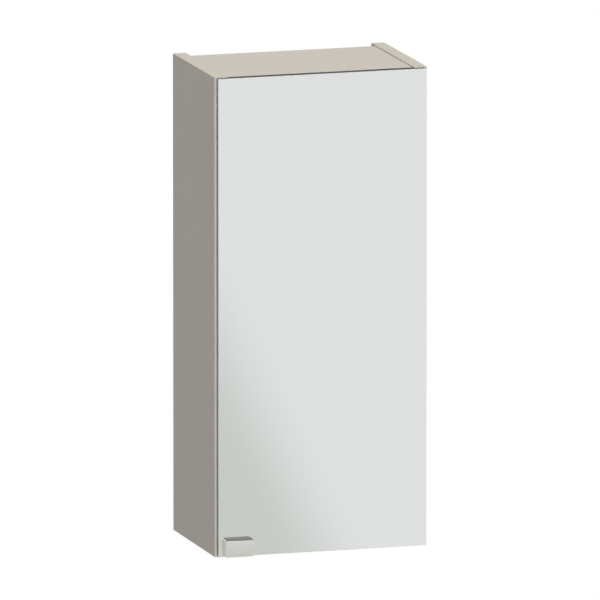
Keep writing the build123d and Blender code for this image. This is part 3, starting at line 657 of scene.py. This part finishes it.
# The top edge takes the painted shade tones, the other edges their ground glass tones.
edge_tone = blend_colours(
    tree,
    inside_box(tree, top_edge_low, outer_high),
    blend_colours(tree, edge_marks, *edge_tones),
    blend_colours(tree, edge_marks, *top_edge_painted_shade_tones),
)
edge_relief = bumped(tree, edge_marks, depth=0.00003)
ground_edge = principled(tree, edge_tone, edge_roughness, normal=edge_relief)
edge_low = Vector((mirror_low.x - beyond, mirror_low.y + bevel_width, mirror_low.z - beyond))
bevel_or_edge = mixed(tree, inside_box(tree, edge_low, outer_high), bevel, ground_edge)
front_low = Vector((mirror_low.x + bevel_width, mirror_low.y - beyond, mirror_low.z + bevel_width))
front_high = Vector((mirror_high.x - bevel_width, mirror_low.y + front_skin, mirror_high.z - bevel_width))
glass_surface = mixed(tree, inside_box(tree, front_low, front_high), bevel_or_edge, silver)
tree.links.new(glass_surface.outputs[0], output.inputs["Surface"])
dress(mirror_glass, "mirror_glass")

# Mirror backing: the grey protective paint and the clear safety film over the silver, which hold
# the glass together if it breaks.
back_film = plain_finish(
    "back_film",
    tones=((0.165, 0.175, 0.178), (0.215, 0.225, 0.228)),
    patches={"scale": 45.0, "detail": 4.0},
    roughness=0.38,
    relief={"scale": 250.0, "detail": 3.0},
    relief_depth=0.00005,
    more=(("Coat Weight", 0.4),),
)
dress(back_film, "mirror_backing")

# Handle: a small cast metal grip, brushed and lacquered. Its front leans out towards the top, its
# top slopes a little to the front, and it is hollow from below, where the fingertips take hold.
handle_low, handle_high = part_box("handle_body")
grip_foot_depth, grip_top_fall, grip_lip = 0.0100, 0.0010, 0.0006
grip_wall, grip_hollow = 0.0020, 0.0100
grip_edge, grip_edge_segments = 0.0005, 4
rounded_from, grip_sharp_from = math.radians(25), math.radians(60)
foot_y, lip_z = handle_high.y - grip_foot_depth, handle_high.z - grip_top_fall
grip_outline = [
    (handle_high.y, handle_low.z),
    (foot_y, handle_low.z),
    (handle_low.y, lip_z - grip_lip),
    (handle_low.y, lip_z),
    (handle_high.y, handle_high.z),
]
grip = bmesh.new()
ends = [[grip.verts.new((x, y, z)) for y, z in grip_outline] for x in (handle_low.x, handle_high.x)]
grip.faces.new(ends[0])
grip.faces.new(ends[1])
sides = []
for corner in range(len(grip_outline)):
    after = (corner + 1) % len(grip_outline)
    sides.append(grip.faces.new((ends[0][corner], ends[0][after], ends[1][after], ends[1][corner])))
underside = sides[0]
bmesh.ops.recalc_face_normals(grip, faces=grip.faces)
bmesh.ops.inset_individual(grip, faces=[underside], thickness=grip_wall)
hollow = bmesh.ops.extrude_discrete_faces(grip, faces=[underside])["faces"]
bmesh.ops.translate(grip, verts=hollow[0].verts, vec=(0.0, 0.0, grip_hollow))
bmesh.ops.recalc_face_normals(grip, faces=grip.faces)
grip_mesh = bpy.data.meshes.new("handle_grip")
grip.to_mesh(grip_mesh)
grip.free()
handle_grip = bpy.data.objects.new("handle_grip", grip_mesh)
bpy.context.scene.collection.objects.link(handle_grip)
rounding = handle_grip.modifiers.new("rounding", "BEVEL")
rounding.width = grip_edge
rounding.segments = grip_edge_segments
rounding.limit_method = "ANGLE"
rounding.angle_limit = rounded_from
grip_mesh.shade_smooth()
grip_mesh.set_sharp_from_angle(angle=grip_sharp_from)

# Lit and shaded copies of one metal: the side tone is painted light, paler than the front, and the top
# tone is painted shade, near black.
front_colour, side_painted_light_colour, top_painted_shade_colour = (0.650, 0.640, 0.630), (0.83, 0.82, 0.80), (0.215, 0.218, 0.212)
front_roughness, top_roughness, lacquered = 0.32, 0.4, 0.85
side_skin, top_skin = 0.0003, 0.0001
handle_metal, tree, output = new_material("handle_metal")
brushing = object_noise(tree, scale=500.0, detail=3.0, stretch=(0.05, 1.0, 6.0))
brush_relief = bumped(tree, brushing, depth=0.00002)
front_tone = blend_colours(tree, brushing, *tints(front_colour, spread=0.03))
side_painted_light_tone = blend_colours(tree, brushing, *tints(side_painted_light_colour, spread=0.03))
side_inset = Vector((side_skin, -grip_edge, -grip_edge))
off_side = inside_box(tree, handle_low + side_inset, handle_high - side_inset)
outer_tone = blend_colours(tree, off_side, side_painted_light_tone, front_tone)
outer_finish = principled(tree, outer_tone, front_roughness, metallic=lacquered, normal=brush_relief)
# The top face's painted shade, as its own finish.
top_painted_shade_tone = blend_colours(tree, brushing, *tints(top_painted_shade_colour, spread=0.05))
top_painted_shade_finish = principled(tree, top_painted_shade_tone, top_roughness, metallic=lacquered, normal=brush_relief)
grip_axes = object_axes(tree)
top_slope = grip_top_fall / (handle_high.y - handle_low.y)
fallen = sums(tree, "MULTIPLY", sums(tree, "SUBTRACT", handle_high.y, grip_axes["Y"]), top_slope)
level = sums(tree, "ADD", grip_axes["Z"], fallen)
# 1 on the sloping top face, where the painted shade finish goes.
on_top = sums(tree, "GREATER_THAN", level, handle_high.z - top_skin)
handle_surface = mixed(tree, on_top, outer_finish, top_painted_shade_finish)
tree.links.new(handle_surface.outputs[0], output.inputs["Surface"])
grip_mesh.materials.append(handle_metal)
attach(handle_grip, "door")
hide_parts("handle_body")

# Handle gasket: a thin clear pad that keeps the metal off the glass. The handle's screws pass
# through it from behind the door, each with a washer on the glass.
gasket_film = plain_finish(
    "gasket_film",
    tones=((0.40, 0.40, 0.39), (0.48, 0.48, 0.47)),
    patches={"scale": 200.0, "detail": 2.0},
    roughness=0.4,
    relief={"scale": 600.0, "detail": 2.0},
    relief_depth=0.00003,
)
dress(gasket_film, "handle_gasket")
dress(bright_zinc, "handle_screws", "handle_washers")
